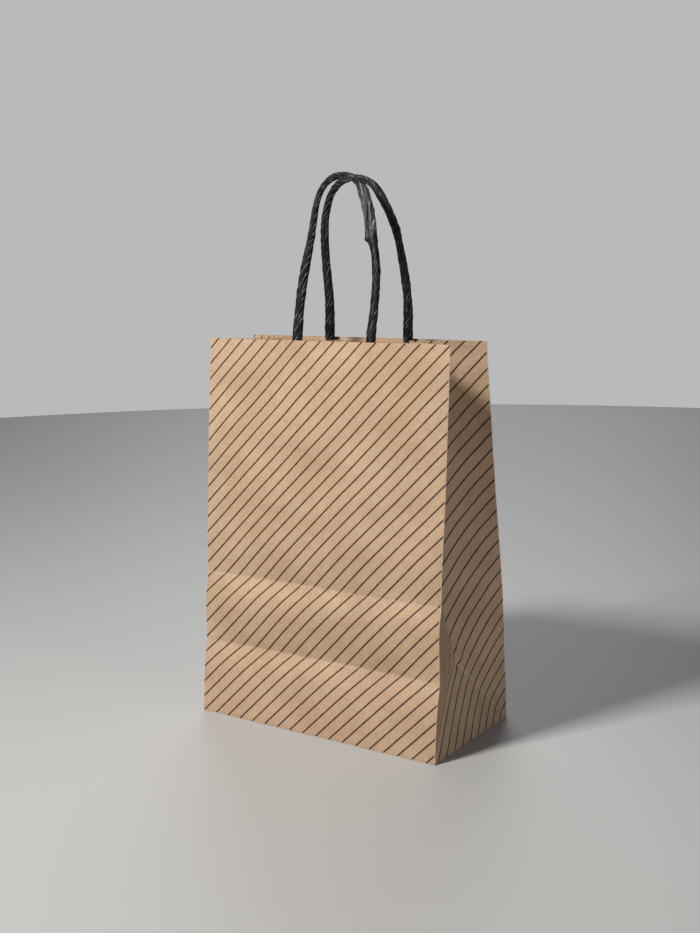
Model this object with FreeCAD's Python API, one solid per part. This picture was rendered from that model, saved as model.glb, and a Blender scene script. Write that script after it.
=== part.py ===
import FreeCAD, Part
import math
import os
from FreeCAD import Vector

# A small kraft paper gift bag with twisted paper handles, standing open on its flat bottom.
# +Z is up, the front panel faces -Y, and the origin is the middle of the bottom's underside.

# Driving dimensions, in millimetres.
BAG_WIDTH = 150.0         # across the front panel
BAG_DEPTH = 80.0          # across an opened gusset, and the depth of the bottom
BAG_HEIGHT = 210.0        # along a panel, from its bottom crease to its cut top edge
PAPER = 0.2               # thickness of the kraft sheet
CREASE_GAP = 0.1          # room left between two pieces of the sheet at a crease
CORNER_GAP = 0.4          # room left where three creases meet at a corner

# How the bag stands: each panel leans in and the gussets fold inwards.
FRONT_LEAN_IN = 16.5      # how far the front panel's top edge stands inside its bottom edge
BACK_LEAN_IN = 24.5       # the same for the back panel
BASE_APEX_IN = 11.0       # how far the tip of a gusset's base triangle stands inside the bottom edge
GUSSET_ROWS = (0.0, 0.25, 0.5, 0.75, 1.0)   # shares of the height above the triangle where a gusset bends

# The bottom, from outside to inside: back flap, front flap, and the two tucks.
FLAP_LAP = 12.0           # how far each flap reaches past the middle of the bottom
TUCK_LENGTH = 40.0        # how far a tuck reaches inwards from a bottom side edge
SEAM_WIDTH = 12.0         # width of the flap that is glued inside the back panel's left edge
SEAM_INSET = 1.0          # seam flap's distance from the panel's side edge and from its ends

# Twisted paper handles, glued between two strips of paper inside each panel.
CORD_DIAMETER = 5.0
CORD_GLUED = 35.0         # length of each cord end inside the patch
CORD_MID = 4.5            # how far the handles sit to the right of the middle
HANDLE_LEAN = 7.0         # degrees that each handle leans in from upright
LOOP_START = 0.3          # the loop starts this far above the panel's top edge
END_DROP = 0.1            # the glued ends stop this far below it
PATCH_WIDTH = 98.0
PATCH_HEIGHT = 38.0
PATCH_DROP = 2.0          # patch's top edge below the panel's top edge
PATCH_GAP = 0.05          # glue line between the layers of a patch
HUMP_FLARE = 3.0          # how far the cover's slope reaches beside each cord end
BEND_SHARE = 0.45         # share of each straight run that a handle's bend takes up

# Each handle's centre line in its own plane, (sideways, up), from its left end over to its right end.
# A cord bends as it is twisted and glued, so the two loops differ.
FRONT_ROUTE = (
    (-22.8, LOOP_START), (-23.1, 18.0), (-22.6, 35.0), (-19.0, 54.0), (-16.4, 71.5), (-11.8, 81.5),
    (-1.5, 86.0), (8.5, 82.0), (15.2, 71.0), (20.3, 55.0), (23.6, 38.0), (24.0, 19.0), (22.8, LOOP_START),
)
BACK_ROUTE = (
    (-24.9, LOOP_START), (-23.9, 20.0), (-23.5, 43.0), (-22.4, 65.0), (-15.5, 80.5), (-3.0, 86.0),
    (8.0, 82.6), (14.2, 74.0), (22.0, 59.0), (25.0, 40.0), (26.0, 20.0), (24.9, LOOP_START),
)

# Worked out from the driving dimensions.
HALF_WIDTH = BAG_WIDTH / 2
HALF_DEPTH = BAG_DEPTH / 2
CORD_RADIUS = CORD_DIAMETER / 2
WALL_FOOT = 2 * PAPER + CREASE_GAP              # walls start just above the two bottom flaps
EDGE_INSET = 2 * PAPER + CREASE_GAP             # a gusset starts this far behind a panel's outer face
GUSSET_HALF = HALF_DEPTH - EDGE_INSET           # paper from a panel's edge to the gusset's middle crease
TUCK_INSET = PAPER + 2 * CREASE_GAP             # the tucks lie just inside the walls
BACKING_FACE = PAPER + PATCH_GAP                # patch backing, from the panel's outer face
CORD_FACE = BACKING_FACE + PAPER + PATCH_GAP    # nearest side of the cord, from the panel's outer face
CORD_AXIS = CORD_FACE + CORD_RADIUS             # cord's centre line, from the panel's outer face


def save(name, shape):
    """One closed solid, or a group of them, to its own STEP file."""
    if not shape.isValid() or shape.Volume <= 0:
        raise ValueError(name + " is not a sound solid")
    shape.exportStep("parts/" + name + ".step")
    print(name, "volume", round(shape.Volume, 2))


def polyhedron(faces):
    """A closed solid from lists of corners, one list for each flat face."""
    built = [Part.Face(Part.makePolygon(corners + corners[:1])) for corners in faces]
    solid = Part.makeSolid(Part.makeShell(built))
    if solid.Volume < 0:
        solid.reverse()
    return solid


def flat_sheet(corners, through):
    """A flat piece of paper: an outline swept through its thickness."""
    return Part.Face(Part.makePolygon(corners + corners[:1])).extrude(through)


def mirror_x(shape):
    """The same piece on the other side of the bag."""
    return shape.mirror(Vector(0, 0, 0), Vector(1, 0, 0))


class Panel:
    """A front or back panel's plane, which leans in from its bottom crease."""

    def __init__(self, outward, lean_in):
        lean = math.asin(lean_in / BAG_HEIGHT)
        self.outward = outward
        self.up = Vector(0, -outward * math.sin(lean), math.cos(lean))
        self.inward = Vector(0, -outward * math.cos(lean), -math.sin(lean))
        self.foot = Vector(0, outward * HALF_DEPTH, 0)

    def at(self, across, height, depth=0.0):
        """A point: across the bag, up the panel from its crease, and in from its outer face."""
        return self.foot + Vector(across, 0, 0) + self.up * height + self.inward * depth

    def rectangle(self, left, right, bottom, top, depth):
        """A rectangular piece of paper in the panel's plane, its outer face at depth."""
        outline = [(left, bottom), (right, bottom), (right, top), (left, top)]
        return flat_sheet([self.at(x, h, depth) for x, h in outline], self.inward * PAPER)


FRONT = Panel(-1, FRONT_LEAN_IN)
BACK = Panel(1, BACK_LEAN_IN)


def middle_y(height):
    """Where a gusset's middle crease stands: halfway between the two panels."""
    return (FRONT.at(0, height).y + BACK.at(0, height).y) / 2


def gusset_apex():
    """The tip of the right gusset's base triangle, on the middle crease."""
    rise = math.sqrt(GUSSET_HALF ** 2 - BASE_APEX_IN ** 2)
    return Vector(HALF_WIDTH - BASE_APEX_IN, middle_y(rise), WALL_FOOT + rise)


def gusset_half(panel):
    """The right gusset's half beside a panel: folded in from the panel's edge to the middle crease."""
    apex = gusset_apex()
    outer_rows = []
    foot = panel.at(HALF_WIDTH, WALL_FOOT + 2 * CREASE_GAP, EDGE_INSET)
    along = (apex - foot).normalize()
    outer_rows.append((foot, foot + along * CORNER_GAP))
    for share in GUSSET_ROWS:
        height = HALF_DEPTH + share * (BAG_HEIGHT - HALF_DEPTH)
        edge = panel.at(HALF_WIDTH, height, EDGE_INSET)
        crease_y = middle_y(height) + panel.outward * CREASE_GAP
        half_gap = abs(crease_y - edge.y)
        folded_in = math.sqrt(GUSSET_HALF ** 2 - half_gap ** 2)
        crease = Vector(HALF_WIDTH - folded_in, crease_y, edge.z)
        if share == 0:
            crease = apex + Vector(0, panel.outward * CREASE_GAP, 2 * CREASE_GAP)
        outer_rows.append((edge, crease))

    inner_rows = []
    for edge, crease in outer_rows:
        run = (crease - edge).normalize()
        inside = Vector(-abs(run.y), panel.outward * abs(run.x), 0).normalize() * PAPER
        inner_rows.append((edge + inside, crease + inside))

    faces = []
    for low, high in zip(range(len(outer_rows) - 1), range(1, len(outer_rows))):
        for rows in (outer_rows, inner_rows):
            (a, b), (d, c) = rows[low], rows[high]
            faces += [[a, b, c], [a, c, d]]
        for side in (0, 1):
            a, b = outer_rows[low][side], outer_rows[high][side]
            d, c = inner_rows[low][side], inner_rows[high][side]
            faces += [[a, b, c], [a, c, d]]
    for end in (0, -1):
        (a, b), (d, c) = outer_rows[end], inner_rows[end]
        faces += [[a, b, c], [a, c, d]]
    return polyhedron(faces)


def gusset_base():
    """The right gusset's base triangle: from the bottom side edge up to its tip."""
    apex = gusset_apex()
    half = GUSSET_HALF - CORNER_GAP
    tip = apex - Vector(0, 0, CORNER_GAP)
    corners = [Vector(HALF_WIDTH, -half, WALL_FOOT), Vector(HALF_WIDTH, half, WALL_FOOT), tip]
    normal = (corners[1] - corners[0]).cross(corners[2] - corners[0]).normalize()
    if normal.x > 0:
        normal = normal * -1
    return flat_sheet(corners, normal * PAPER)


def bottom_flap(outward, level):
    """A bottom flap with 45 degree ends, from its crease to past the middle of the bottom."""
    reach = HALF_DEPTH + FLAP_LAP
    wide = HALF_WIDTH
    narrow = HALF_WIDTH - reach
    far = -outward * FLAP_LAP
    corners = [(-wide, outward * HALF_DEPTH), (wide, outward * HALF_DEPTH), (narrow, far), (-narrow, far)]
    return flat_sheet([Vector(x, y, level) for x, y in corners], Vector(0, 0, PAPER))


def bottom_tuck():
    """The right gusset's tuck, seen inside the bag as a rectangle on the bottom."""
    outer = HALF_WIDTH - TUCK_INSET
    inner = HALF_WIDTH - TUCK_LENGTH
    side = HALF_DEPTH - TUCK_INSET
    outline = [(inner, -side), (outer, -side), (outer, side), (inner, side)]
    return flat_sheet([Vector(x, y, 2 * PAPER) for x, y in outline], Vector(0, 0, PAPER))


def cord_end(panel, across):
    """A glued cord end, up the panel between the patch's two strips."""
    bottom = panel.at(across, BAG_HEIGHT - CORD_GLUED, CORD_AXIS)
    return Part.makeCylinder(CORD_RADIUS, CORD_GLUED - END_DROP, bottom, panel.up)


def patch_cover(panel, ends):
    """The inner strip: flat on the backing, humped over each cord end."""
    low = BACKING_FACE + PAPER + PATCH_GAP
    around = CORD_RADIUS + PATCH_GAP
    facet = around * math.tan(math.pi / 8)
    line = [(CORD_MID - PATCH_WIDTH / 2, low)]
    for x in ends:
        line += [(x - around - HUMP_FLARE, low), (x - around, CORD_AXIS + facet)]
        line += [(x - facet, CORD_AXIS + around), (x + facet, CORD_AXIS + around)]
        line += [(x + around, CORD_AXIS + facet), (x + around + HUMP_FLARE, low)]
    line.append((CORD_MID + PATCH_WIDTH / 2, low))

    thick = []
    for i, (x, depth) in enumerate(line):
        before = line[max(i - 1, 0)]
        after = line[min(i + 1, len(line) - 1)]
        slope = math.atan2(after[1] - before[1], after[0] - before[0])
        thick.append((x - PAPER * math.sin(slope), depth + PAPER * math.cos(slope)))
    foot = BAG_HEIGHT - PATCH_DROP - PATCH_HEIGHT
    outline = [panel.at(x, foot, depth) for x, depth in line + thick[::-1]]
    return flat_sheet(outline, panel.up * PATCH_HEIGHT)


def route_wire(points):
    """Straight runs joined by tangent arcs, each as large as its two runs allow."""
    arcs = []
    for before, corner, after in zip(points, points[1:], points[2:]):
        back = before - corner
        ahead = after - corner
        turn = math.pi - back.getAngle(ahead)
        trim = BEND_SHARE * min(back.Length, ahead.Length)
        radius = trim / math.tan(turn / 2)
        start = corner + back.normalize() * trim
        end = corner + ahead.normalize() * trim
        toward = (back + ahead).normalize()
        middle = corner + toward * (radius / math.cos(turn / 2) - radius)
        arcs.append((start, middle, end, radius))
    edges = []
    here = points[0]
    for start, middle, end, radius in arcs:
        edges.append(Part.LineSegment(here, start).toShape())
        edges.append(Part.Arc(start, middle, end).toShape())
        here = end
    edges.append(Part.LineSegment(here, points[-1]).toShape())
    print("  bend radii", [round(arc[3]) for arc in arcs])
    return Part.Wire(edges)


def handle_loop(panel, route):
    """The free loop of a twisted paper handle, above the panel's top edge."""
    root = panel.at(CORD_MID, BAG_HEIGHT, CORD_AXIS)
    lean = math.radians(HANDLE_LEAN)
    up = Vector(0, -panel.outward * math.sin(lean), math.cos(lean))
    wire = route_wire([root + Vector(across, 0, 0) + up * height for across, height in route])
    first = wire.Edges[0]
    direction = first.tangentAt(first.FirstParameter)
    section = Part.Wire(Part.makeCircle(CORD_RADIUS, wire.Vertexes[0].Point, direction))
    tube = wire.makePipeShell([section], True, False)
    length = wire.Length
    print("  loop length", round(length, 1), "section times length",
          round(math.pi * CORD_RADIUS ** 2 * length, 1))
    return tube


def make_panels():
    """Front and back panels, and the seam flap glued inside the back panel."""
    for name, panel in (("front_panel", FRONT), ("back_panel", BACK)):
        save(name, panel.rectangle(-HALF_WIDTH, HALF_WIDTH, WALL_FOOT, BAG_HEIGHT, 0.0))
    left = SEAM_INSET - HALF_WIDTH
    bottom = WALL_FOOT + SEAM_INSET
    save("seam_flap", BACK.rectangle(left, left + SEAM_WIDTH, bottom, BAG_HEIGHT - SEAM_INSET, PAPER))


def make_gussets():
    """Both side gussets: two halves and a base triangle each."""
    pieces = {"front": gusset_half(FRONT), "back": gusset_half(BACK), "base": gusset_base()}
    for name, piece in pieces.items():
        save("right_gusset_" + name, piece)
        save("left_gusset_" + name, mirror_x(piece))


def make_bottom():
    """The flat bottom: two flaps that overlap in the middle, and two tucks inside them."""
    save("bottom_back_flap", bottom_flap(1, 0.0))
    save("bottom_front_flap", bottom_flap(-1, PAPER))
    save("bottom_tuck_right", bottom_tuck())
    save("bottom_tuck_left", mirror_x(bottom_tuck()))


def make_handles():
    """Two handles, each with its glued ends, its loop and the two strips of its patch."""
    for side, panel, route in (("front", FRONT, FRONT_ROUTE), ("back", BACK, BACK_ROUTE)):
        left_x = CORD_MID + route[0][0]
        right_x = CORD_MID + route[-1][0]
        patch_left = CORD_MID - PATCH_WIDTH / 2
        patch_right = patch_left + PATCH_WIDTH
        patch_top = BAG_HEIGHT - PATCH_DROP
        patch_foot = patch_top - PATCH_HEIGHT
        backing = panel.rectangle(patch_left, patch_right, patch_foot, patch_top, BACKING_FACE)
        save(side + "_patch_backing", backing)
        save(side + "_handle_left_end", cord_end(panel, left_x))
        save(side + "_handle_right_end", cord_end(panel, right_x))
        save(side + "_patch_cover", patch_cover(panel, (left_x, right_x)))
        save(side + "_handle_loop", handle_loop(panel, route))


os.makedirs("parts", exist_ok=True)
make_panels()
make_gussets()
make_bottom()
make_handles()
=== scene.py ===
import math

import bpy
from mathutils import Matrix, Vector, noise


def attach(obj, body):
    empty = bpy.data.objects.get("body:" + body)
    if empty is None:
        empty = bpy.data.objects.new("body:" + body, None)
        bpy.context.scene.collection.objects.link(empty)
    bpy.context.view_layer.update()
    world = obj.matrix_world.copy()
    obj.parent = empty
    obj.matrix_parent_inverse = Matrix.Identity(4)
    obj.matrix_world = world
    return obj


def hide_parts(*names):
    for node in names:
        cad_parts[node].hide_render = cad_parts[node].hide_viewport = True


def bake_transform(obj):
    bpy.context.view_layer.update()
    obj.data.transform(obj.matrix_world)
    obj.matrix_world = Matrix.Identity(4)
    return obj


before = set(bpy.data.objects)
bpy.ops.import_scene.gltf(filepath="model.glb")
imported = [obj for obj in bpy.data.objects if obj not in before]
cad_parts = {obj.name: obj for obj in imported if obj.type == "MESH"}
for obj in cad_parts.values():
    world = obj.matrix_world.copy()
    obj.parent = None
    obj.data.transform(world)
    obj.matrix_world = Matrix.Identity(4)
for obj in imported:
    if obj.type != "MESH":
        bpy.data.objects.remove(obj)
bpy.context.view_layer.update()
bpy.ops.object.select_all(action="DESELECT")


# Front panel.
# The bag is one sheet of brown kraft paper, printed with thin slanting lines while it is flat,
# then scored, folded and glued. The front panel leans in and is dented along its two bottom folds.
MM = 0.001               # sizes are written in mm, and this turns them into metres
HALF_WIDTH = 75.0
HALF_DEPTH = 40.0
HEIGHT = 210.0
FRONT_CUT = 208.8        # where the guillotine took the sheet's top edge off, in front and behind
BACK_CUT = 209.3
PAPER = 0.2
FRONT_LEAN = math.asin(16.5 / HEIGHT)
BACK_LEAN = math.asin(24.5 / HEIGHT)
FOLD_ROUND = 0.35        # a fold turns inwards over this depth
FOLD_GAP = 0.12          # the upright paper starts this far above the bottom fold
LOW_FOLD = 40.0
HIGH_FOLD = 79.0
LOW_DENT = 6.3           # how deep the front panel is dented along its two bottom folds
HIGH_DENT = 4.6
CELL = 2.5               # spacing of the points on a flat panel
FRONT_CORD_ENDS = (-18.3, 27.3)         # where a handle's two glued ends stand, across the panel
BACK_CORD_ENDS = (-20.4, 29.4)
LINE_PITCH = 6.0         # printed lines, measured square to them
LINE_START = 4.58
LINE_WIDTH = 0.80
KRAFT_LIGHT = (0.56, 0.40, 0.27, 1)
KRAFT_DARK = (0.39, 0.255, 0.155, 1)
INK = (0.007, 0.0035, 0.0015, 1)
DARK_FLECK = (0.19, 0.105, 0.05, 1)
WORN_FIBRE = (0.70, 0.56, 0.42, 1)


def ease(value, low, high):
    """0 below low, 1 above high, and smooth in between."""
    t = max(0.0, min(1.0, (value - low) / (high - low)))
    return t * t * (3 - 2 * t)


def swell(value, centre, width):
    """A bell shape: 1 at the centre, fading out over the width."""
    return math.exp(-((value - centre) / width) ** 2)


def wander(x, y, size, layer):
    """A smooth chance pattern between -1 and 1, always the same, with patches of the given size."""
    return noise.noise(Vector((x / size, y / size, layer)))


def fold_dent(height, fold, below, above):
    """Deepest on the fold: the panel slopes out of it slowly above, and quickly below."""
    if height > fold:
        return max(0.0, 1 - (height - fold) / above) ** 1.4
    return 0.6 * math.exp(-(fold - height) / below) + 0.4 * math.exp(-((fold - height) / below) ** 2)


def patch_hold(x, height):
    """1 where the glued handle patch keeps a panel flat."""
    return ease(x, -56, -42) * (1 - ease(x, 51, 65)) * ease(height, 156, 172)


def front_dent(x, height):
    """How far the front panel stands behind its straight plane, in mm."""
    to_edge = abs(x / HALF_WIDTH)
    held = 1 - 0.6 * to_edge ** 6
    soft = 0.8 + 0.3 * wander(x, 0, 50, 8.3)
    low = LOW_FOLD + 0.6 * wander(x, 0, 30, 3.1)
    high = HIGH_FOLD + 0.7 * wander(x, 0, 34, 6.4)
    at_folds = LOW_DENT * fold_dent(height, low, 8.5, 29) + HIGH_DENT * fold_dent(height, high, 7.5, 26)
    dent = held * soft * at_folds

    # The right side bows out low down and in higher up.
    to_right = 0.5 + x / (2 * HALF_WIDTH)
    dent += to_right * (-0.8 * swell(height, 80, 26) + 1.0 * swell(height, 143, 38))

    # Slack waves, less beside the folds and where the glued patch holds the panel.
    loose = ease(height, 3, 36) * (1 - 0.6 * patch_hold(x, height)) * (1 - 0.75 * to_edge ** 5)
    loose *= 0.6 + 0.4 * ease(height, 105, 140)
    broad = 2.2 * wander(x * 0.9 + 20, height * 0.7, 44, 1.7)
    dent += loose * (broad + 0.75 * wander(x, height, 19, 5.2))

    # The two glued cord ends press the paper out a little from behind.
    pressed = swell(x, FRONT_CORD_ENDS[0], 6) + swell(x, FRONT_CORD_ENDS[1], 7)
    dent -= 0.55 * ease(height, 168, 184) * pressed
    return dent


def panel_point(side, x, height, depth):
    """A place on the front (-1) or back (1) panel, depth mm inside its outer face."""
    lean = FRONT_LEAN if side < 0 else BACK_LEAN
    y = side * (HALF_DEPTH - height * math.sin(lean) - depth * math.cos(lean))
    return Vector((x, y, height * math.cos(lean) - depth * math.sin(lean))) * MM


def edge_round(x, height):
    """How far the paper turns in at a panel's side folds and bottom fold."""
    side_reach = 0.6
    foot_reach = 0.5
    at_side = max(0.0, abs(x) - HALF_WIDTH + side_reach) / side_reach
    at_foot = max(0.0, foot_reach - height) / foot_reach
    return FOLD_ROUND * max(at_side, at_foot) ** 2


def cut_paper(name, left, right, bottom, top, cell=CELL):
    """A flat rectangle of the sheet: x runs along the sheet, z up it, printed side towards -y."""
    bpy.ops.mesh.primitive_grid_add(
        x_subdivisions=max(2, round((right - left) / cell)),
        y_subdivisions=max(2, round((top - bottom) / cell)),
        size=1,
        location=((left + right) / 2 * MM, 0, (bottom + top) / 2 * MM),
        rotation=(math.pi / 2, 0, 0))
    piece = bpy.context.object
    piece.name = piece.data.name = name
    piece.scale = ((right - left) * MM, (top - bottom) * MM, 1)
    bpy.ops.object.transform_apply(location=True, rotation=True, scale=True)
    return piece


def cut_line(piece, along, up, normal, remove=None):
    """A straight cut through the flat sheet.
    remove takes away what is ahead, on the side the normal points to, or what is behind."""
    bpy.ops.object.mode_set(mode="EDIT")
    bpy.ops.mesh.select_all(action="SELECT")
    bpy.ops.mesh.bisect(plane_co=(along * MM, 0, up * MM), plane_no=normal,
                        clear_outer=remove == "ahead", clear_inner=remove == "behind")
    bpy.ops.object.mode_set(mode="OBJECT")


def print_and_fold(piece, place):
    """The sheet's own coordinates become the piece's UV map. Then every point goes to its folded place."""
    sheet = piece.data.uv_layers[0]
    sheet.name = "sheet"
    for loop in piece.data.loops:
        co = piece.data.vertices[loop.vertex_index].co
        sheet.data[loop.index].uv = (co.x, co.z)
    for vertex in piece.data.vertices:
        vertex.co = place(vertex.co.x / MM, vertex.co.z / MM)


def pick_up(piece):
    """This piece is selected and active, and nothing else is selected."""
    bpy.ops.object.select_all(action="DESELECT")
    piece.select_set(True)
    bpy.context.view_layer.objects.active = piece


def give_thickness(piece, faces):
    """Paper thickness behind the printed face, with its own finish inside and on the cut edges."""
    for finish in faces:
        piece.data.materials.append(finish)
    wall = piece.modifiers.new("paper", "SOLIDIFY")
    wall.thickness = PAPER * MM
    wall.offset = -1
    wall.material_offset = 1
    wall.material_offset_rim = 2
    pick_up(piece)
    bpy.ops.object.modifier_apply(modifier="paper")
    bpy.ops.object.shade_smooth_by_angle(angle=math.radians(40))
    piece.select_set(False)


def add_node(tree, kind, **settings):
    """A shader node with its settings. An input is given by name or number, and is a value or a link."""
    made = tree.nodes.new("ShaderNode" + kind)
    inputs = settings.pop("inputs", {})
    for key, value in settings.items():
        setattr(made, key, value)
    for key, value in inputs.items():
        if isinstance(value, bpy.types.NodeSocket):
            tree.links.new(value, made.inputs[key])
        else:
            made.inputs[key].default_value = value
    return made


def calc(tree, operation, a, b=0.0, c=0.0):
    """One step of arithmetic on a pattern."""
    return add_node(tree, "Math", operation=operation, inputs={0: a, 1: b, 2: c}).outputs[0]


def fade(tree, value, start, end, first=0.0, last=1.0):
    """first below start, last above end, and smooth in between."""
    limits = {"Value": value, "From Min": start, "From Max": end, "To Min": first, "To Max": last}
    made = add_node(tree, "MapRange", interpolation_type="SMOOTHSTEP", inputs=limits)
    return made.outputs["Result"]


def blend_colour(tree, share, first, second):
    """The first colour where share is 0, and the second where it is 1."""
    made = add_node(tree, "Mix", data_type="RGBA", inputs={0: share, 6: first, 7: second})
    return made.outputs[2]


def kraft_paper(name, printed):
    """Brown kraft paper: long fibres, cloudy pulp, small flecks, and pale broken fibres along the folds."""
    paper = bpy.data.materials.new(name)
    paper.use_nodes = True
    tree = paper.node_tree
    shader = tree.nodes["Principled BSDF"]
    sheet = add_node(tree, "UVMap", uv_map="sheet").outputs["UV"]
    along_up = add_node(tree, "SeparateXYZ", inputs={0: sheet})
    along, up = along_up.outputs["X"], along_up.outputs["Y"]

    def spread(size_x, size_y):
        """The sheet's coordinates, counted in steps of the given size in mm."""
        scale = (1 / (size_x * MM), 1 / (size_y * MM), 1)
        return add_node(tree, "Mapping", inputs={"Vector": sheet, "Scale": scale}).outputs[0]

    def grain(size_x, size_y, detail, rough, twist=0.0):
        settings = {"Vector": spread(size_x, size_y), "Scale": 1.0, "Detail": detail,
                    "Roughness": rough, "Distortion": twist}
        return add_node(tree, "TexNoise", inputs=settings).outputs[0]

    clouds = grain(34, 26, 3, 0.55)
    mottle = grain(2.6, 3.2, 3, 0.6, 0.6)
    pulp = grain(0.75, 0.75, 2, 0.6, 0.3)
    long_fibre = grain(0.32, 2.4, 2, 0.6, 1.2)
    cross_fibre = grain(1.6, 0.28, 2, 0.6, 1.2)
    wrinkle = grain(9, 14, 2, 0.5, 0.4)

    tone = calc(tree, "MULTIPLY_ADD", clouds, 0.85, -0.05)
    for layer, amount, middle in ((mottle, 0.45, 0.22), (long_fibre, 0.42, 0.21),
                                  (cross_fibre, 0.36, 0.18), (pulp, 0.8, 0.4)):
        tone = calc(tree, "MULTIPLY_ADD", layer, amount, calc(tree, "SUBTRACT", tone, middle))
    colour = blend_colour(tree, fade(tree, tone, 0.0, 0.85), KRAFT_DARK, KRAFT_LIGHT)

    # Flecks: a few cells of a pattern are dark, and a few others pale.
    cells = {"Vector": spread(2.4, 3.4), "Scale": 1.0, "Randomness": 1.0}
    fleck = add_node(tree, "TexVoronoi", inputs=cells)
    chance = add_node(tree, "SeparateColor", inputs={0: fleck.outputs["Color"]})
    dark_fleck = calc(tree, "MULTIPLY", fade(tree, fleck.outputs["Distance"], 0.05, 0.13, 1, 0),
                      fade(tree, chance.outputs[0], 0.80, 0.84))
    pale_fleck = calc(tree, "MULTIPLY", fade(tree, fleck.outputs["Distance"], 0.05, 0.16, 1, 0),
                      fade(tree, chance.outputs[1], 0.78, 0.82))
    colour = blend_colour(tree, calc(tree, "MULTIPLY", dark_fleck, 0.45), colour, DARK_FLECK)
    colour = blend_colour(tree, calc(tree, "MULTIPLY", pale_fleck, 0.4), colour, WORN_FIBRE)

    if printed:
        # Printed lines: the distance to the nearest one, counted in pitches, along the slanting direction.
        slant = calc(tree, "MULTIPLY", calc(tree, "SUBTRACT", up, along), math.sqrt(0.5) / (LINE_PITCH * MM))
        slant = calc(tree, "SUBTRACT", slant, LINE_START / LINE_PITCH)
        shake = calc(tree, "MULTIPLY_ADD", long_fibre, 0.012, -0.006)
        nearest = calc(tree, "PINGPONG", calc(tree, "ADD", slant, shake), 0.5)
        half_line = LINE_WIDTH / 2 / LINE_PITCH
        line = fade(tree, nearest, half_line * 0.8, half_line * 1.25, 1, 0)
        strength = calc(tree, "MULTIPLY_ADD", fade(tree, mottle, 0.3, 0.7), -0.08, 0.99)
        line = calc(tree, "MULTIPLY", line, strength)
        colour = blend_colour(tree, line, colour, INK)

        # Pale broken fibres along the upright folds, the slanting creases and the panels' level folds.
        far = calc(tree, "ABSOLUTE", along)
        near_fold = calc(tree, "ABSOLUTE", calc(tree, "SUBTRACT", far, HALF_WIDTH * MM))
        back_fold = calc(tree, "ABSOLUTE", calc(tree, "SUBTRACT", far, (HALF_WIDTH + 2 * HALF_DEPTH) * MM))
        edge = calc(tree, "MINIMUM", near_fold, back_fold)
        edge_worn = fade(tree, edge, 0.0002, 0.0007, 0.6, 0)
        in_gusset = calc(tree, "ABSOLUTE", calc(tree, "SUBTRACT", far, (HALF_WIDTH + HALF_DEPTH) * MM))
        slope = calc(tree, "SUBTRACT", calc(tree, "SUBTRACT", LOW_FOLD * MM, in_gusset), up)
        slope_line = fade(tree, calc(tree, "ABSOLUTE", slope), 0.0001, 0.0006, 1, 0)
        on_gusset = fade(tree, in_gusset, (HALF_DEPTH - 0.5) * MM, HALF_DEPTH * MM, 0.45, 0)
        slope_worn = calc(tree, "MULTIPLY", slope_line, on_gusset)
        on_panel = fade(tree, in_gusset, HALF_DEPTH * MM, (HALF_DEPTH + 0.5) * MM)
        low = calc(tree, "ABSOLUTE", calc(tree, "SUBTRACT", up, LOW_FOLD * MM))
        high = calc(tree, "ABSOLUTE", calc(tree, "SUBTRACT", up, HIGH_FOLD * MM))
        level = fade(tree, calc(tree, "MINIMUM", low, high), 0.0002, 0.0011, 0.2, 0)
        level_worn = calc(tree, "MULTIPLY", level, on_panel)
        worn = calc(tree, "MAXIMUM", edge_worn, calc(tree, "MAXIMUM", slope_worn, level_worn))
        worn = calc(tree, "MULTIPLY", worn, fade(tree, mottle, 0.32, 0.6, 0.25, 0.85))
        colour = blend_colour(tree, worn, colour, WORN_FIBRE)

    tree.links.new(colour, shader.inputs["Base Color"])
    rough = calc(tree, "MULTIPLY_ADD", long_fibre, 0.22, 0.50)
    tree.links.new(rough, shader.inputs["Roughness"])
    shader.inputs["Specular IOR Level"].default_value = 0.32
    relief = calc(tree, "MULTIPLY_ADD", cross_fibre, 0.5, long_fibre)
    fine = add_node(tree, "Bump", inputs={"Strength": 0.55, "Distance": 0.00007, "Height": relief})
    waves = {"Strength": 0.6, "Distance": 0.0007, "Height": wrinkle, "Normal": fine.outputs[0]}
    broad = add_node(tree, "Bump", inputs=waves)
    tree.links.new(broad.outputs[0], shader.inputs["Normal"])
    return paper


def raw_edge():
    """The cut edge of the paper, pale and a little furry."""
    edge = bpy.data.materials.new("kraft_cut_edge")
    edge.use_nodes = True
    tree = edge.node_tree
    shader = tree.nodes["Principled BSDF"]
    place = add_node(tree, "TexCoord").outputs["Object"]
    fur = add_node(tree, "TexNoise", inputs={"Vector": place, "Scale": 1600.0, "Detail": 2.0})
    furriness = fade(tree, fur.outputs[0], 0.3, 0.7)
    colour = blend_colour(tree, furriness, (0.46, 0.33, 0.22, 1), (0.80, 0.70, 0.58, 1))
    tree.links.new(colour, shader.inputs["Base Color"])
    shader.inputs["Roughness"].default_value = 0.85
    shader.inputs["Specular IOR Level"].default_value = 0.2
    return edge


PRINTED = kraft_paper("kraft_printed", True)
PLAIN = kraft_paper("kraft_plain", False)
CUT_EDGE = raw_edge()
BAG_FACES = (PRINTED, PLAIN, CUT_EDGE)


def score_panel(piece, left, right):
    """Extra rows of points beside the folds, so that they stay crisp."""
    for x in (left + 0.3, left + 0.7, right - 0.7, right - 0.3):
        cut_line(piece, x, 0, (1, 0, 0))
    beside = (-1.1, -0.4, 0.4, 1.3)
    low_rows = [LOW_FOLD + reach for reach in beside]
    high_rows = [HIGH_FOLD + reach for reach in beside]
    for height in (0.3, 0.6, *low_rows, *high_rows, 208.2):
        cut_line(piece, 0, height, (0, 0, 1))


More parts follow.
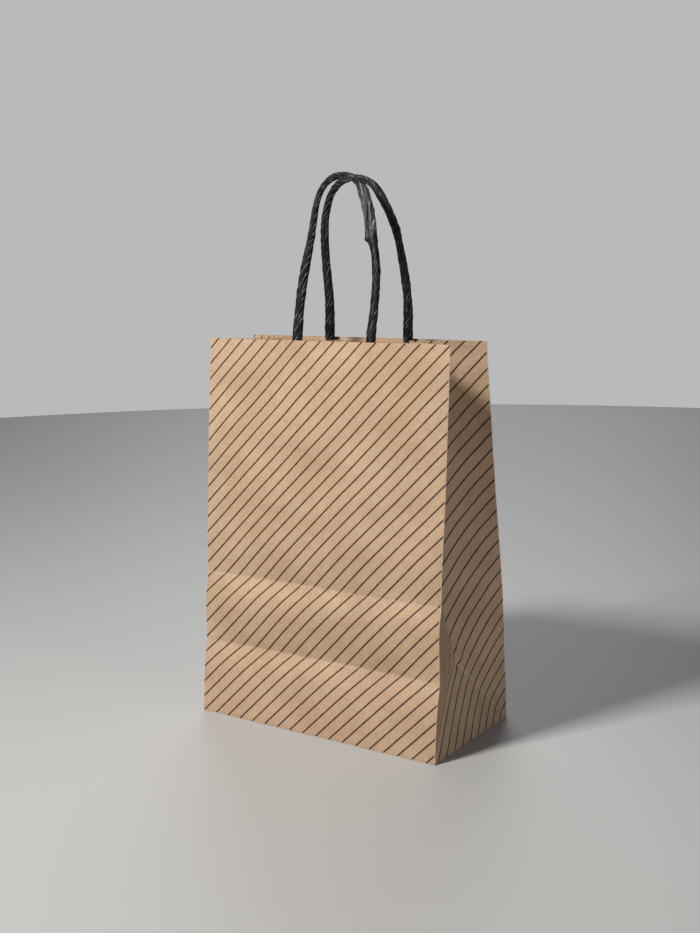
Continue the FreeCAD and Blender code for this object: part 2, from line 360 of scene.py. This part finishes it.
front_panel = cut_paper("front_panel_paper", -HALF_WIDTH, HALF_WIDTH, FOLD_GAP, FRONT_CUT)
score_panel(front_panel, -HALF_WIDTH, HALF_WIDTH)
print_and_fold(front_panel, lambda x, h: panel_point(-1, x, h, front_dent(x, h) + edge_round(x, h)))
give_thickness(front_panel, BAG_FACES)
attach(front_panel, "front_side")
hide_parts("front_panel")


# Back panel and seam flap.
# The same sheet comes round to the back, leans in further and bows out low down.
# A narrow flap past the left gusset is glued flat inside the back panel's left edge.
SHEET_BACK = 230.0       # a place x across the back panel is this much less x along the sheet
SEAM_WIDTH = 12.0
SEAM_FOOT = 1.5
BACK_BOW = 1.9           # the back bows out by this much, between the bottom fold and BOW_TOP
BOW_TOP = 150


def back_dent(x, height):
    """How far the back panel stands inside its straight plane, in mm."""
    soft = 0.75 + 0.3 * wander(x, 3, 50, 2.3)
    low = LOW_FOLD + 0.6 * wander(x, 0, 30, 9.1)
    high = HIGH_FOLD + 0.7 * wander(x, 0, 34, 7.4)
    dent = 1.0 * soft * fold_dent(height, low, 6, 9) + 0.7 * soft * fold_dent(height, high, 6, 12)
    dent -= BACK_BOW * math.sin(math.pi * min(height, BOW_TOP) / BOW_TOP)
    loose = ease(height, 3, 36) * (1 - 0.65 * patch_hold(x, height))
    broad = 1.6 * wander(x * 0.9 - 35, height * 0.7, 46, 11.7)
    dent += loose * (broad + 0.4 * wander(x, height, 18, 15.2))
    pressed = swell(x, BACK_CORD_ENDS[0], 4) + swell(x, BACK_CORD_ENDS[1], 4)
    dent -= 0.35 * ease(height, 172, 182) * pressed
    return dent


def back_place(along, h):
    x = SHEET_BACK - along
    return panel_point(1, x, h, back_dent(x, h) + edge_round(x, h))


back_left = SHEET_BACK - HALF_WIDTH
back_right = SHEET_BACK + HALF_WIDTH
back_panel = cut_paper("back_panel_paper", back_left, back_right, FOLD_GAP, BACK_CUT)
score_panel(back_panel, back_left, back_right)
print_and_fold(back_panel, back_place)
give_thickness(back_panel, BAG_FACES)
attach(back_panel, "back_side")
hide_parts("back_panel")


def seam_place(along, h):
    """The flap lies on a film of glue, and its free edge lifts a little here and there."""
    x = -SHEET_BACK - along
    glue = 0.03
    lift = 0.35 * ease(x, -66, -62) * (0.5 + wander(x, h, 24, 4.4))
    return panel_point(1, x, h, back_dent(x, h) + PAPER + glue + max(0.0, lift))


seam_left = -SHEET_BACK + HALF_WIDTH - 1.0 - SEAM_WIDTH
seam_flap = cut_paper("seam_flap_paper", seam_left, seam_left + SEAM_WIDTH, SEAM_FOOT, BACK_CUT - 1)
print_and_fold(seam_flap, seam_place)
give_thickness(seam_flap, BAG_FACES)
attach(seam_flap, "back_side")
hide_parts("seam_flap")


# Side gussets.
# Each side of the bag is folded in along a middle crease, sharp at the mouth and soft low down.
# Slanting creases part the two halves from the triangle that stands up from the bottom edge.
GUSSET_TURN = math.radians(25.24)       # how far each half swings out as the mouth opens wide
FRONT_SWING = math.sin(math.radians(2.80))
BACK_SWING = math.sin(math.radians(4.18))
BEND_START = (0, 0, -0.07)              # a half turns more and more between these heights, in metres
BEND_END = (0, 0, 0.165)
TIP_IN = 10.5            # the triangle's tip stands this far inside the side edge
TIP_REACH = 22.0         # above the tip the middle crease eases out to its own depth over this height
GUSSET_CELL = 1.6
TOP_OVERLAP = 0.5        # each half runs on past the middle crease inside the bag, a little at the top
LOW_OVERLAP = 2.4        # and more low down and along the slanting creases, so that no slit opens there


def gusset_row(side, height):
    """The two panel edges at one height, and the middle crease between them, in metres.
    The crease stands where both halves still meet after their bend when the mouth is wide open."""
    x = side * HALF_WIDTH
    front = panel_point(-1, x, height, front_dent(x, height) + FOLD_ROUND)
    back = panel_point(1, x, height, back_dent(x, height) + FOLD_ROUND)
    half_gap = (back.y - front.y) / 2 / MM
    share = ease(height, BEND_START[2] / MM, BEND_END[2] / MM)
    turn = share * GUSSET_TURN
    opened = half_gap + height * (FRONT_SWING + BACK_SWING) / 2
    deep = (opened - half_gap * math.cos(turn)) / math.sin(turn)
    if height <= LOW_FOLD:
        deep = TIP_IN
    else:
        deep -= (deep - TIP_IN) * math.exp(-(height - LOW_FOLD) / TIP_REACH)
    crease = (front + back) / 2
    crease.x -= side * deep * MM
    return front, back, crease


def half_curve(side, edge, crease, share, softness):
    """Across one half: straight from panel edge to crease, with a hollow that takes up the spare paper.
    A shallow arc that is longer than its run by the share spare rises by the root of 0.375 * spare."""
    run = crease - edge
    reach = run.length / MM
    spare = max(0.0, HALF_DEPTH - FOLD_ROUND) / reach - 1
    hollow = softness * reach * math.sqrt(0.375 * max(0.0, spare))
    outward = Vector((-side * abs(run.y), math.copysign(abs(run.x), -run.y), 0)).normalized()
    return edge + run * share + outward * (hollow * 4 * share * (1 - share) * MM)


def crumple(along, height):
    """Small crush marks round the tip of the triangle."""
    near = swell(math.hypot(along, height - LOW_FOLD), 0, 9)
    crushed = 1.3 * near * wander(along, height, 3.6, 2.9)
    return crushed + 0.45 * wander(along, height, 13, 6.1) * ease(height, 12, LOW_FOLD)


def gusset_half(side, end, away, height):
    """A point of a gusset half: away mm of paper from its panel's edge. end is -1 in front, 1 behind."""
    sheet_share = away / HALF_DEPTH
    tip_height = max(height, LOW_FOLD)
    front, back, crease = gusset_row(side, tip_height)
    softness = 0.15 + 0.4 * ease(tip_height, 55, 120)
    edge = front if end < 0 else back
    if height >= LOW_FOLD:
        point = half_curve(side, edge, crease, sheet_share, softness)
    elif away > height:
        # Past the slanting crease the half runs on close behind the triangle.
        across = end * (HALF_DEPTH - away) / max(HALF_DEPTH - height, 0.5)
        behind = 0.1 + 0.35 * ease(away - height, 0, 0.8)
        return gusset_triangle(side, across, height) - Vector((side * behind * MM, 0, 0))
    else:
        share = min(1.0, away / max(height, 0.01))
        curved = half_curve(side, edge, crease, share, softness) - edge
        low_front, low_back, _ = gusset_row(side, height)
        point = (low_front if end < 0 else low_back) + curved * (height / LOW_FOLD)
    ruffle = crumple(HALF_DEPTH - away, height) * ease(away, 0, 6)
    return point + Vector((-side * ruffle * MM, 0, 0))


def gusset_triangle(side, across, height):
    """A point of the triangle: across from -1 at its front slanting crease to 1 at the back one."""
    front = gusset_half(side, -1, height, height)
    back = gusset_half(side, 1, height, height)
    point = front.lerp(back, (across + 1) / 2)
    middle = 1 - across * across
    hollow = 0.5 * middle * ease(height, 0, 12) * (1 - ease(height, 24, 39))
    point.x -= side * hollow * MM
    return point


def fold_gusset(side, name):
    """The three pieces of one gusset. On the sheet the right gusset comes after the front panel,
    and the left one before it."""
    sheet_edge = side * HALF_WIDTH
    for end, which in ((-1, "front"), (1, "back")):
        start = sheet_edge if end < 0 else sheet_edge + side * 2 * HALF_DEPTH
        inwards = side * (-end)
        stop = start + inwards * (HALF_DEPTH + LOW_OVERLAP)
        top = FRONT_CUT if end < 0 else BACK_CUT
        half = cut_paper(f"{name}_gusset_{which}_paper", min(start, stop), max(start, stop),
                         FOLD_GAP, top, GUSSET_CELL)
        taper = (LOW_OVERLAP - TOP_OVERLAP) / (HEIGHT - LOW_FOLD)
        cut_line(half, start, -LOW_OVERLAP, (inwards, 0, -1), remove="ahead")
        cut_line(half, stop, LOW_FOLD, (inwards, 0, taper), remove="ahead")
        cut_line(half, start, 0, (inwards, 0, -1))
        cut_line(half, 0, LOW_FOLD, (0, 0, 1))

        def place(along, h):
            return gusset_half(side, end, max(0.0, (along - start) * inwards), h)

        print_and_fold(half, place)
        give_thickness(half, BAG_FACES)
        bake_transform(half)
        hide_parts(f"{name}_gusset_{which}")

    middle = sheet_edge + side * HALF_DEPTH
    left = middle - HALF_DEPTH
    right = middle + HALF_DEPTH
    base = cut_paper(f"{name}_gusset_base_paper", left, right, FOLD_GAP, LOW_FOLD, GUSSET_CELL)
    cut_line(base, left, 0, (1, 0, -1), remove="behind")
    cut_line(base, right, 0, (-1, 0, -1), remove="behind")

    def base_place(along, h):
        reach = max(HALF_DEPTH - h, 0.01)
        across = max(-1.0, min(1.0, (along - middle) / reach))
        return gusset_triangle(side, across * side, h)

    print_and_fold(base, base_place)
    give_thickness(base, BAG_FACES)
    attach(base, f"{name}_base_triangle")
    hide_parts(f"{name}_gusset_base")


fold_gusset(1, "right")
fold_gusset(-1, "left")


# Bottom flaps and tucks.
# The front and back flaps fold under and overlap in the middle, with the back one outermost.
# The gussets' tucks lie flat inside them. All are glued, and together they are the flat bottom.
FLAP_REACH = 52.0
FLAP_GAP = 0.15          # a flap's paper starts this far past the bottom fold
TUCK_REACH = 40.0
TUCK_GAP = 0.3
TUCK_HALF = 39.4         # a tuck is a little narrower than the bag is deep


def front_flap_place(along, h):
    """It steps up over the back flap's edge, and its own free edge curls a little."""
    y = -HALF_DEPTH - h
    step = 0.2 * ease(y, -15, -11.5) * (1 - ease(abs(along), 62, 66)) + 0.02
    curl = 0.25 * ease(y, 9.5, 12)
    return Vector((along, y, step + curl)) * MM


front_flap = cut_paper("bottom_front_flap_paper", -HALF_WIDTH, HALF_WIDTH, -FLAP_REACH, -FLAP_GAP)
cut_line(front_flap, HALF_WIDTH, 0, (1, 0, -1), remove="ahead")
cut_line(front_flap, -HALF_WIDTH, 0, (-1, 0, -1), remove="ahead")
print_and_fold(front_flap, front_flap_place)
give_thickness(front_flap, BAG_FACES)
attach(front_flap, "bottom")
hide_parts("bottom_front_flap")


def back_flap_place(along, h):
    return Vector((SHEET_BACK - along, HALF_DEPTH + h, 0.0)) * MM


back_flap = cut_paper("bottom_back_flap_paper", back_left, back_right, -FLAP_REACH, -FLAP_GAP)
cut_line(back_flap, back_right, 0, (1, 0, -1), remove="ahead")
cut_line(back_flap, back_left, 0, (-1, 0, -1), remove="ahead")
print_and_fold(back_flap, back_flap_place)
give_thickness(back_flap, BAG_FACES)
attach(back_flap, "bottom")
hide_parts("bottom_back_flap")

for side, name in ((1, "right"), (-1, "left")):
    middle = side * (HALF_WIDTH + HALF_DEPTH)
    tuck = cut_paper(f"bottom_tuck_{name}_paper", middle - TUCK_HALF, middle + TUCK_HALF,
                     -TUCK_REACH, -TUCK_GAP)

    def tuck_place(along, h):
        y = (along - middle) * side
        x = side * (HALF_WIDTH + h)
        lift = 0.45 + 0.35 * ease(-h, 34, 40) * (0.6 + wander(y, 0, 20, 3.3))
        return Vector((x, y, lift)) * MM

    print_and_fold(tuck, tuck_place)
    give_thickness(tuck, BAG_FACES)
    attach(tuck, "bottom")
    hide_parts(f"bottom_tuck_{name}")


# Handle patches.
# Each handle's two ends are glued up the inside of its panel between two strips of plain kraft paper.
# The inner strip is pressed down round the cords, so it stands up in two rounded ridges.
CORD_MID = 4.5
CORD_DEPTH = 3.0         # the cord's middle, in from the panel's outer face
PATCH_LEFT = -44.5
PATCH_RIGHT = 53.5
PATCH_FOOT = 170.0
PATCH_TOP = 208.0
PATCH_CELL = 0.9         # the cover needs close points for its ridges
BACKING_DEPTH = 0.24     # how far the two strips lie in from the panel's outer face
COVER_DEPTH = 0.55
RIDGE_RADIUS = 2.85      # the cover goes round a cord in this radius, and slopes down beside it
RIDGE_HALF = 2.75
PATCH_FACES = (PLAIN, PLAIN, CUT_EDGE)

for side, which, dent, ends in (
        (-1, "front", front_dent, FRONT_CORD_ENDS),
        (1, "back", back_dent, BACK_CORD_ENDS)):
    def turned(x):
        """The back's strips are turned round, so that their outer face points out of the bag too."""
        return x if side < 0 else PATCH_LEFT + PATCH_RIGHT - x

    def layer(x, h, depth):
        return panel_point(side, x, h, dent(x, h) + depth)

    def cover_depth(x, h):
        depth = COVER_DEPTH + 0.12 * max(0.0, wander(x, h, 9, 7.7))
        for cord_x in ends:
            beside = abs(x - cord_x)
            if beside < RIDGE_HALF:
                over = CORD_DEPTH + math.sqrt(RIDGE_RADIUS ** 2 - beside ** 2)
            else:
                slope_end = 6.4 + 0.8 * wander(x, h, 8, 1.1)
                over = COVER_DEPTH + (CORD_DEPTH + 0.2) * (1 - ease(beside, 2.4, slope_end))
            depth = max(depth, over)
        return depth

    strip = (PATCH_LEFT, PATCH_RIGHT, PATCH_FOOT, PATCH_TOP)
    backing = cut_paper(f"{which}_patch_backing_paper", *strip)
    cover = cut_paper(f"{which}_patch_cover_paper", *strip, PATCH_CELL)
    print_and_fold(backing, lambda x, h: layer(turned(x), h, BACKING_DEPTH))
    print_and_fold(cover, lambda x, h: layer(turned(x), h, cover_depth(turned(x), h)))
    for piece, node in ((backing, f"{which}_patch_backing"), (cover, f"{which}_patch_cover")):
        give_thickness(piece, PATCH_FACES)
        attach(piece, f"{which}_side")
        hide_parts(node)


# Twisted paper handles.
# A strip of dark grey paper is twisted tight into each cord, so its folded edges wind round it.
# Both ends are glued into the patch. The cords have come loose on one shoulder, the front one most.
CORD_RADIUS = 2.42
TWIST_PITCH = 30.0
HANDLE_LEAN = math.radians(7.0)
RING_STEP = 0.5          # spacing of the rings of points along a cord
AROUND = 72              # points round each ring
STRIP_EDGES = (0.0, 0.8, 1.75, 2.5, 3.6, 4.3, 5.35)     # where the wound strip's edges lie round the cord
GLUED_HEIGHTS = (175.2, 184.0, 193.0, 202.0)            # the cord's points inside the patch
LOOSE_MIDDLE = 160.0     # along the cord: the middle of the loosened stretch, and its ragged end
RAGGED_AT = 169.0
GROOVE_WIDTH = 0.16      # round the cord, in radians: the groove beside each strip's edge,
PAINTED_HIGHLIGHT_PLACE = 0.10        # the painted highlight line next to it,
PAINTED_HIGHLIGHT_WIDTH = 0.11
FRAY_WIDTH = 0.12        # and a turned-up edge, with a painted glint along it
CHARCOAL_DARK = (0.0012, 0.0018, 0.0035, 1)
CHARCOAL_LIGHT = (0.010, 0.012, 0.017, 1)
LOOSE_GREY = (0.060, 0.060, 0.063, 1)
# Colour of the painted highlights on the strip's folded edges and of the painted glints
PAINTED_HIGHLIGHT_GREY = (0.36, 0.36, 0.37, 1)

# Each loop's middle line in its own plane: sideways from the middle of the handle, and up.
FRONT_ROUTE = (
    (-22.8, 0.3), (-22.3, 18.0), (-20.4, 35.0), (-16.8, 54.0), (-15.2, 71.0), (-10.2, 80.6),
    (-1.0, 84.4), (10.2, 81.2), (16.0, 70.5), (19.6, 55.0), (24.2, 38.0), (24.3, 19.0), (22.8, 0.3))
BACK_ROUTE = (
    (-24.9, 0.3), (-22.6, 20.0), (-23.4, 43.0), (-21.7, 65.0), (-14.3, 80.0), (-2.2, 84.8),
    (9.6, 81.6), (15.0, 74.0), (22.2, 59.0), (25.2, 40.0), (26.9, 20.0), (24.9, 0.3))


def cord_line(name, points):
    """Evenly spaced points along the smooth line that follows the route."""
    curve = bpy.data.curves.new(name, "CURVE")
    curve.dimensions = "3D"
    curve.resolution_u = 30
    spline = curve.splines.new("NURBS")
    spline.points.add(len(points) - 1)
    for knot, point in zip(spline.points, points):
        knot.co = (*point, 1)
    spline.order_u = 3
    spline.use_endpoint_u = True
    holder = bpy.data.objects.new(name, curve)
    bpy.context.scene.collection.objects.link(holder)
    mesh = bpy.data.meshes.new_from_object(holder)
    raw = [v.co.copy() for v in mesh.vertices]
    bpy.data.objects.remove(holder)
    bpy.data.meshes.remove(mesh)
    line = [raw[0]]
    travelled = 0.0
    for a, b in zip(raw, raw[1:]):
        length = (b - a).length
        while travelled + length >= RING_STEP * MM:
            share = (RING_STEP * MM - travelled) / length
            a = a.lerp(b, share)
            length *= 1 - share
            travelled = 0.0
            line.append(a)
        travelled += length
    return line


def cord_size(stops, s):
    """The share of the full thickness at length s, eased from one (length, share) stop to the next."""
    before = max((stop for stop in stops if stop[0] <= s), key=lambda stop: stop[0])
    after = min((stop for stop in stops if stop[0] > s), key=lambda stop: stop[0], default=before)
    return before[1] + (after[1] - before[1]) * ease(s, before[0], max(after[0], before[0] + 1))


def twist_cord(name, line, facing, layer, loosened, thickness, frays_and_glints):
    """A tube whose section is a strip of paper wound round itself. loosened gives 0 to 1 by length in mm,
    and thickness holds the stops for cord_size, because the twist is tighter in places.
    frays_and_glints are turned-up edges of the loosened strip, each with a painted glint: from one length
    and angle to another, and how bright the painted glint is."""
    full = 2 * math.pi
    verts, faces, ridges, loose_marks, painted_highlights = [], [], [], [], []
    wound = 0.0
    for i, point in enumerate(line):
        ahead = line[min(i + 1, len(line) - 1)] - line[max(i - 1, 0)]
        ahead.normalize()
        out = (facing - ahead * facing.dot(ahead)).normalized()
        beside = ahead.cross(out)
        s = i * RING_STEP
        loose = loosened(s)
        wound += full * RING_STEP / TWIST_PITCH * (1 - 0.8 * loose)
        # Round this ring: where the strip's edges lie, how far each stands up, and how bright its painted
        # highlight is.
        folds = [(a + 0.75 * noise.noise(Vector((s / 11, k * 3.7, layer)))) % full
                 for k, a in enumerate(STRIP_EDGES)]
        folds.sort()
        lift = [0.13 + 0.24 * noise.noise(Vector((s / 4.5, k * 5.1, layer + 9))) for k in range(len(folds))]
        painted_shine = [max(0.0, min(1.0, 0.12 + 2.0 * noise.noise(Vector((s / 3.2, k * 4.3, layer + 20)))))
                 for k in range(len(folds))]
        size = CORD_RADIUS * cord_size(thickness, s) + 0.2 * noise.noise(Vector((s / 9, 0, layer + 4)))
        for k in range(AROUND):
            # Which turn of the strip this point is on, and how far across it.
            angle = full * k / AROUND
            signed = angle - full if angle > math.pi else angle
            turn = (angle - wound) % full
            n = max((j for j, f in enumerate(folds) if f <= turn), default=len(folds) - 1)
            low = folds[n]
            high = folds[(n + 1) % len(folds)]
            span = (high - low) % full
            part = ((turn - low) % full) / span
            height = lift[n] * (1 - 2 * part) * (1 + 1.2 * loose)
            groove = math.exp(-((1 - part) * span / GROOVE_WIDTH) ** 2)
            # A painted highlight: paler colour just past each strip's raised edge, where its fold would
            # catch the light.
            painted_highlight = painted_shine[n] * math.exp(-((part * span - PAINTED_HIGHLIGHT_PLACE) / PAINTED_HIGHLIGHT_WIDTH) ** 2)
            turned_up = 0.0
            # Each turned-up edge stands off a little and carries a painted glint: its colour stands in for
            # the light it catches.
            for start_s, start_angle, end_s, end_angle, pale in frays_and_glints:
                if start_s <= s <= end_s:
                    here = start_angle + (end_angle - start_angle) * (s - start_s) / (end_s - start_s)
                    line_here = math.exp(-((signed - here) / FRAY_WIDTH) ** 2)
                    painted_highlight = max(painted_highlight * (1 - line_here), 2 * pale * line_here)
                    turned_up = max(turned_up, line_here)
            fine = 0.05 * noise.noise(Vector((math.cos(turn) * 4, math.sin(turn) * 4, s / 4 + layer)))
            # Where it has come loose the cord is flatter, and the strip's end stands off.
            tilted = angle + 0.25
            flat = 1 / math.sqrt((math.cos(tilted) / 0.80) ** 2 + (math.sin(tilted) / 1.30) ** 2)
            ragged = loosened(LOOSE_MIDDLE) * swell(s, RAGGED_AT, 2.4) * swell(signed, 1.15, 0.4)
            ragged *= 1 + 0.9 * noise.noise(Vector((s / 1.1, angle * 2, 5)))
            radius = size * (1 + loose * (flat - 1)) + height - 0.24 * groove + fine
            radius += 0.2 * turned_up + 1.3 * ragged
            verts.append(point + (out * math.cos(angle) + beside * math.sin(angle)) * (radius * MM))
            # Painted shade from the relief: darker in the grooves and where the strip sinks, lighter where
            # it stands up, with a little random tone.
            ridges.append(max(0.0, min(1.0, 0.45 + 1.2 * height + 4 * fine - 0.6 * groove)))
            loose_marks.append(loose * (1 - min(1.0, ragged)))
            painted_highlights.append(painted_highlight)
    rings = len(line)
    for i in range(rings - 1):
        for k in range(AROUND):
            a = i * AROUND + k
            b = i * AROUND + (k + 1) % AROUND
            faces.append((a, b, b + AROUND, a + AROUND))
    for ring, middle in ((0, line[0]), (rings - 1, line[-1])):
        centre = len(verts)
        verts.append(middle.copy())
        ridges.append(0.2)
        loose_marks.append(0.0)
        painted_highlights.append(0.0)
        for k in range(AROUND):
            a = ring * AROUND + k
            b = ring * AROUND + (k + 1) % AROUND
            faces.append((b, a, centre) if ring == 0 else (a, b, centre))
    mesh = bpy.data.meshes.new(name)
    mesh.from_pydata(verts, [], faces)
    for label, values in (("relief_shade", ridges), ("loose", loose_marks), ("painted_highlight", painted_highlights)):
        mesh.attributes.new(label, "FLOAT", "POINT").data.foreach_set("value", values)
    cord = bpy.data.objects.new(name, mesh)
    bpy.context.scene.collection.objects.link(cord)
    return cord


def charcoal_paper():
    """Dark dyed paper: a soft sheen, painted highlights on the folded edges, painted shade near black in the
    grooves and lighter on the raised ridges, and greyer where loose.
    """
    paper = bpy.data.materials.new("charcoal_twisted_paper")
    paper.use_nodes = True
    tree = paper.node_tree
    shader = tree.nodes["Principled BSDF"]
    relief_shade = add_node(tree, "Attribute", attribute_name="relief_shade").outputs["Fac"]
    loose = add_node(tree, "Attribute", attribute_name="loose").outputs["Fac"]
    painted_highlight = add_node(tree, "Attribute", attribute_name="painted_highlight").outputs["Fac"]
    place = add_node(tree, "TexCoord").outputs["Object"]
    hairs = {"Vector": place, "Scale": 900.0, "Detail": 3.0, "Distortion": 1.0}
    fibre = add_node(tree, "TexNoise", inputs=hairs)
    patchy = add_node(tree, "TexNoise", inputs={"Vector": place, "Scale": 110.0, "Detail": 2.0})
    # The tone is painted shade from the cord's relief, mixed with random fibre and patchy tone.
    tone = calc(tree, "MULTIPLY_ADD", fibre.outputs[0], 0.35, calc(tree, "SUBTRACT", relief_shade, 0.18))
    tone = calc(tree, "MULTIPLY_ADD", patchy.outputs[0], 0.5, calc(tree, "SUBTRACT", tone, 0.25))
    colour = blend_colour(tree, fade(tree, tone, 0.15, 0.95), CHARCOAL_DARK, CHARCOAL_LIGHT)
    colour = blend_colour(tree, calc(tree, "MULTIPLY", loose, 0.6), colour, LOOSE_GREY)
    # Painted highlights on the folded edges, and painted glints on the turned-up edges.
    colour = blend_colour(tree, calc(tree, "MULTIPLY", painted_highlight, 0.36), colour, PAINTED_HIGHLIGHT_GREY)
    tree.links.new(colour, shader.inputs["Base Color"])
    tree.links.new(calc(tree, "MULTIPLY_ADD", fibre.outputs[0], 0.25, 0.40), shader.inputs["Roughness"])
    shader.inputs["Specular IOR Level"].default_value = 0.35
    bump = add_node(tree, "Bump", inputs={"Strength": 0.5, "Distance": 0.00008, "Height": fibre.outputs[0]})
    tree.links.new(bump.outputs[0], shader.inputs["Normal"])
    return paper


CHARCOAL = charcoal_paper()


def shoulder(s):
    """Where along the front cord it has come loose."""
    return ease(s, 139, 145) * (1 - ease(s, 163, 172))


def back_shoulder(s):
    """The back cord is only a little loose."""
    return 0.25 * ease(s, 140, 150) * (1 - ease(s, 160, 172))


FRONT_SIZES = (
    (0, 1.0), (36, 1.06), (52, 1.0), (72, 0.98), (88, 0.78), (112, 0.66), (132, 0.72), (143, 0.90),
    (164, 0.96), (182, 0.84), (206, 0.88), (222, 1.02), (258, 1.0))
# Turned-up edges of the loosened strip, each with a painted glint; the last is a fainter painted line along
# the flap's edge.
FRONT_FRAYS_AND_GLINTS = (
    (141.0, -0.55, 146.5, 0.14, 1.2),
    (160.5, -1.5, 167.5, -0.2, 1.2),
    (149.0, 0.35, 162.0, 0.75, 0.45))
BACK_SIZES = (
    (0, 1.0), (38, 1.08), (60, 0.98), (86, 0.90), (108, 0.78), (132, 0.70), (152, 0.84), (176, 0.80),
    (196, 0.92), (224, 1.04), (262, 1.0))
for side, which, route, loosened, sizes, frays_and_glints, layer in (
        (-1, "front", FRONT_ROUTE, shoulder, FRONT_SIZES, FRONT_FRAYS_AND_GLINTS, 1.0),
        (1, "back", BACK_ROUTE, back_shoulder, BACK_SIZES, (), 31.0)):
    root = panel_point(side, CORD_MID, HEIGHT, CORD_DEPTH)
    lean_up = Vector((0, -side * math.sin(HANDLE_LEAN), math.cos(HANDLE_LEAN)))
    loop = [root + Vector((across * MM, 0, 0)) + lean_up * (h * MM) for across, h in route]
    left_x = CORD_MID + route[0][0]
    right_x = CORD_MID + route[-1][0]
    going_up = [panel_point(side, left_x, h, CORD_DEPTH) for h in GLUED_HEIGHTS]
    going_down = [panel_point(side, right_x, h, CORD_DEPTH) for h in reversed(GLUED_HEIGHTS)]
    line = cord_line(f"{which}_handle_line", going_up + loop + going_down)
    facing = Vector((0, side * math.cos(HANDLE_LEAN), math.sin(HANDLE_LEAN)))
    cord = twist_cord(f"{which}_handle_cord", line, facing, layer, loosened, sizes, frays_and_glints)
    cord.data.materials.append(CHARCOAL)
    pick_up(cord)
    bpy.ops.object.mode_set(mode="EDIT")
    bpy.ops.mesh.select_all(action="SELECT")
    bpy.ops.mesh.normals_make_consistent(inside=False)
    bpy.ops.object.mode_set(mode="OBJECT")
    bpy.ops.object.shade_smooth_by_angle(angle=math.radians(50))
    cord.select_set(False)
    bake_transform(cord)
    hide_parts(f"{which}_handle_loop", f"{which}_handle_left_end", f"{which}_handle_right_end")


# Table and light.
# The bag stands on a plain pale matt table. A high soft light from the front left makes its shadows.
# A weak one fills the right side, and a wide one reaches the back.
TABLE_RADIUS = 1.5
TABLE_TOP = -0.00015     # a hair below the bag, so that the two faces don't meet
TABLE_GREY = (0.44, 0.44, 0.435, 1)
ROOM_BLUE = (0.72, 0.80, 0.95, 1)
ROOM_LIGHT = 0.07
WALL_GREY = (0.48, 0.49, 0.50, 1)

bpy.ops.mesh.primitive_circle_add(
    vertices=128, radius=TABLE_RADIUS, fill_type="NGON", location=(0, 0, TABLE_TOP))
table = bpy.context.object
table.name = "table_top"
pale = bpy.data.materials.new("pale_table")
pale.use_nodes = True
matt = pale.node_tree.nodes["Principled BSDF"]
matt.inputs["Base Color"].default_value = TABLE_GREY
matt.inputs["Roughness"].default_value = 0.55
table.data.materials.append(pale)
table.select_set(False)

# The room gives a faint blue light, and a plain grey wall is seen behind the table.
world = bpy.data.worlds.new("studio")
world.use_nodes = True
studio = world.node_tree
room = studio.nodes["Background"]
room.inputs["Color"].default_value = ROOM_BLUE
room.inputs["Strength"].default_value = ROOM_LIGHT
backdrop = studio.nodes.new("ShaderNodeBackground")
backdrop.inputs["Color"].default_value = WALL_GREY
seen = studio.nodes.new("ShaderNodeLightPath")
either = studio.nodes.new("ShaderNodeMixShader")
studio.links.new(seen.outputs["Is Camera Ray"], either.inputs[0])
studio.links.new(room.outputs[0], either.inputs[1])
studio.links.new(backdrop.outputs[0], either.inputs[2])
studio.links.new(either.outputs[0], studio.nodes["World Output"].inputs["Surface"])
bpy.context.scene.world = world


def softbox(name, place, target, size, power, colour):
    """A square soft lamp that points at its target and isn't seen itself."""
    lamp = bpy.data.lights.new(name, "AREA")
    lamp.size = size
    lamp.energy = power
    lamp.color = colour
    holder = bpy.data.objects.new(name, lamp)
    bpy.context.scene.collection.objects.link(holder)
    holder.location = place
    holder.rotation_euler = (Vector(target) - Vector(place)).to_track_quat("-Z", "Y").to_euler()
    holder.visible_camera = False


softbox("window_light", place=(-0.283, -0.777, 0.899), target=(0, 0, 0.1),
        size=0.18, power=16.5, colour=(1.0, 0.975, 0.935))
softbox("side_fill", place=(1.15, -0.25, 0.35), target=(0, 0, 0.05),
        size=0.6, power=2.6, colour=(1.0, 0.98, 0.96))
softbox("back_light", place=(-0.9, 1.5, 1.1), target=(0, 0, 0.1),
        size=1.2, power=12, colour=(0.96, 0.98, 1.0))


# Camera.
# It stands to the right of the front panel, a little above the bag, and looks slightly down.
TURN = math.radians(33.75)
DOWN = math.radians(9.42)
ROLL = math.radians(-0.81)
STAND = (0.36694, -0.54906, 0.24887)    # in metres
lens = bpy.data.cameras.new("camera")
lens.sensor_fit = "AUTO"
lens.sensor_width = 36
lens.lens = 47.86
lens.clip_start = 0.01
camera = bpy.data.objects.new("camera", lens)
bpy.context.scene.collection.objects.link(camera)
look = Vector((-math.sin(TURN) * math.cos(DOWN), math.cos(TURN) * math.cos(DOWN), -math.sin(DOWN)))
flat_right = Vector((math.cos(TURN), math.sin(TURN), 0))
flat_up = flat_right.cross(look)
right = flat_right * math.cos(ROLL) + flat_up * math.sin(ROLL)
upright = flat_up * math.cos(ROLL) - flat_right * math.sin(ROLL)
matrix = camera.matrix_world.copy()
for column, axis in enumerate((right, upright, -look)):
    for row in range(3):
        matrix[row][column] = axis[row]
matrix.translation = STAND
camera.matrix_world = matrix
bpy.context.scene.camera = camera
bpy.context.scene.view_settings.view_transform = "Standard"

bpy.context.view_layer.update()
